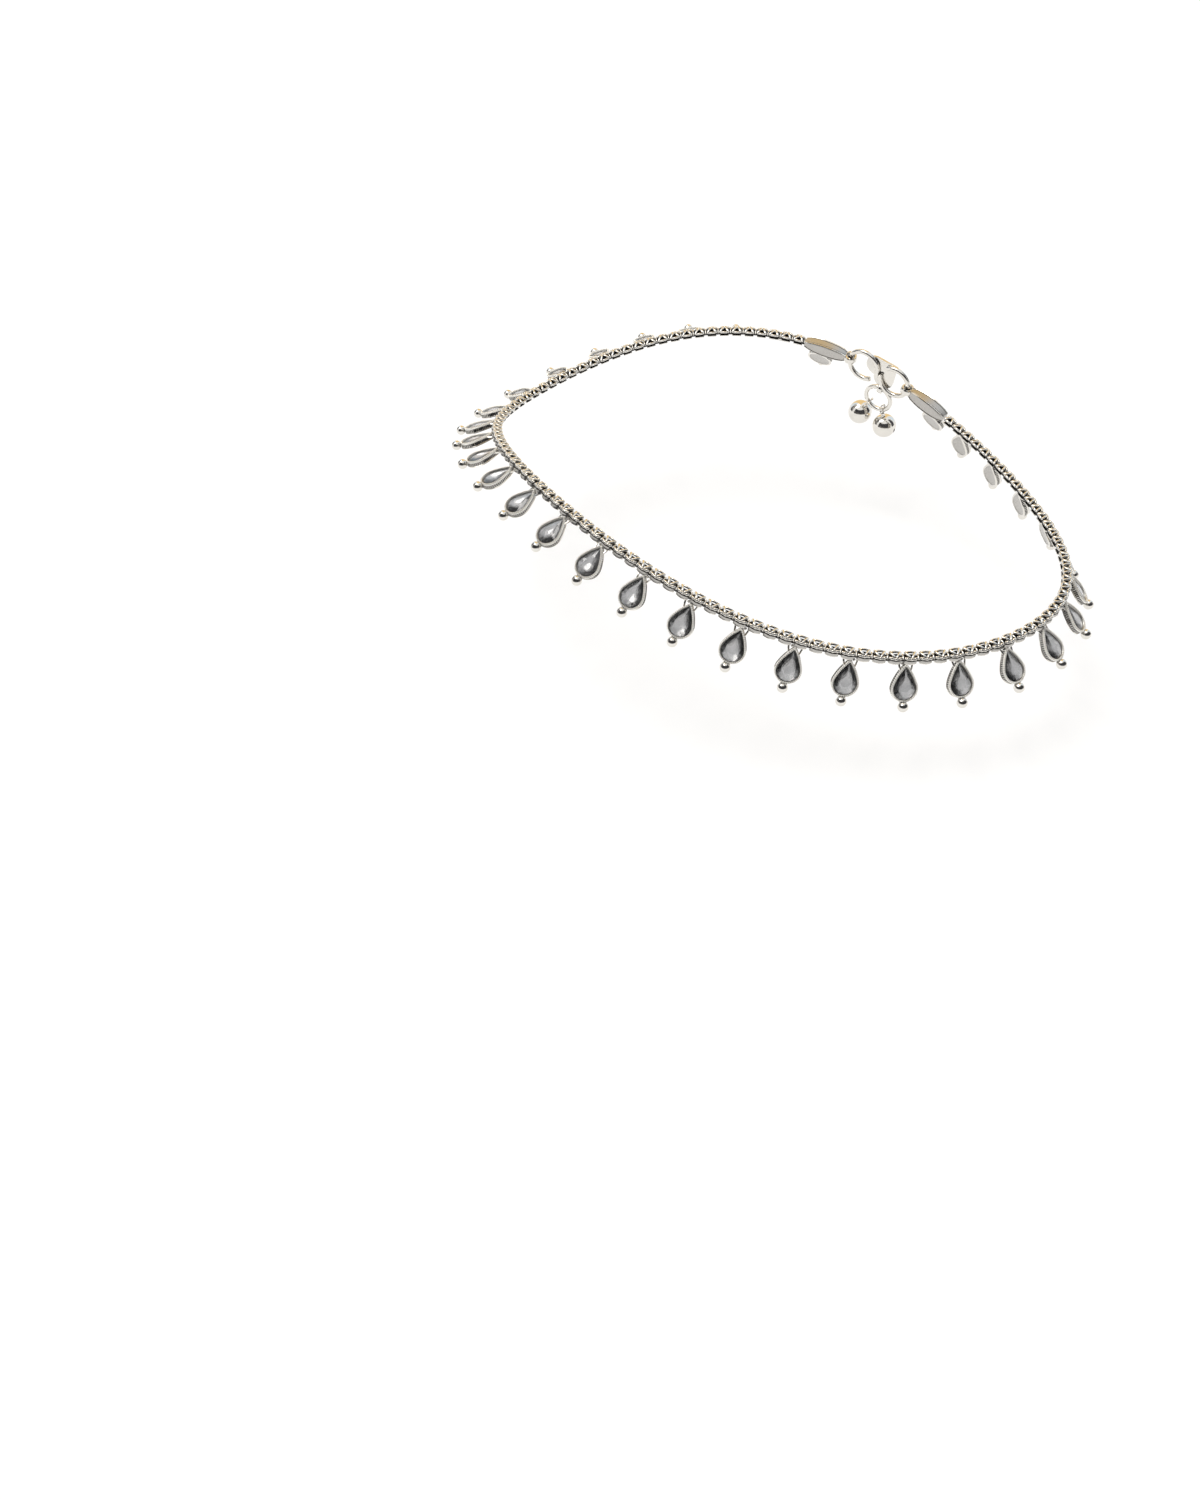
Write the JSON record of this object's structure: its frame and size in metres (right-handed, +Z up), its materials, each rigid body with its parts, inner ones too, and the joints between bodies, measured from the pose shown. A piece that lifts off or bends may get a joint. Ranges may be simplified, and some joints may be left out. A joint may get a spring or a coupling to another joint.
{
  "type": "payal anklet",
  "caption": "Closed payal anklet: ladder-link band with pear drops in milgrain cups, and a heart hook clasp with two ball bells, held in its worn form.",
  "frame": {"origin": "middle of the ankle hollow, at the mean height of the band", "axes": "+Z up along the leg, -X towards the instep, +X towards the heel, +Y towards the side with the heart clasp"},
  "size_m": [0.1177, 0.0925, 0.0219],
  "materials": {
    "silver": "polished silver with darkened recesses and milgrain edges",
    "clear_stone": "faceted clear stone, polished"
  },
  "bodies": {
    "root": {"back_bell": "silver", "band_links": "silver", "bell_ring": "silver", "drop_01": "silver", "drop_02": "silver", "drop_03": "silver", "drop_04": "silver", "drop_05": "silver", "drop_06": "silver", "drop_07": "silver", "drop_08": "silver", "drop_09": "silver", "drop_10": "silver", "drop_11": "silver", "drop_12": "silver", "drop_13": "silver", "drop_14": "silver", "drop_15": "silver", "drop_16": "silver", "drop_17": "silver", "drop_18": "silver", "drop_19": "silver", "drop_20": "silver", "drop_21": "silver", "drop_22": "silver", "drop_23": "silver", "drop_24": "silver", "drop_25": "silver", "drop_26": "silver", "drop_27": "silver", "drop_28": "silver", "drop_29": "silver", "drop_30": "silver", "drop_31": "silver", "first_stone": "clear_stone", "first_terminal": "silver", "front_bell": "silver", "heart_clasp": "silver", "last_stone": "clear_stone", "last_terminal": "silver", "pear_stones": "clear_stone"}
  },
  "joints": []
}
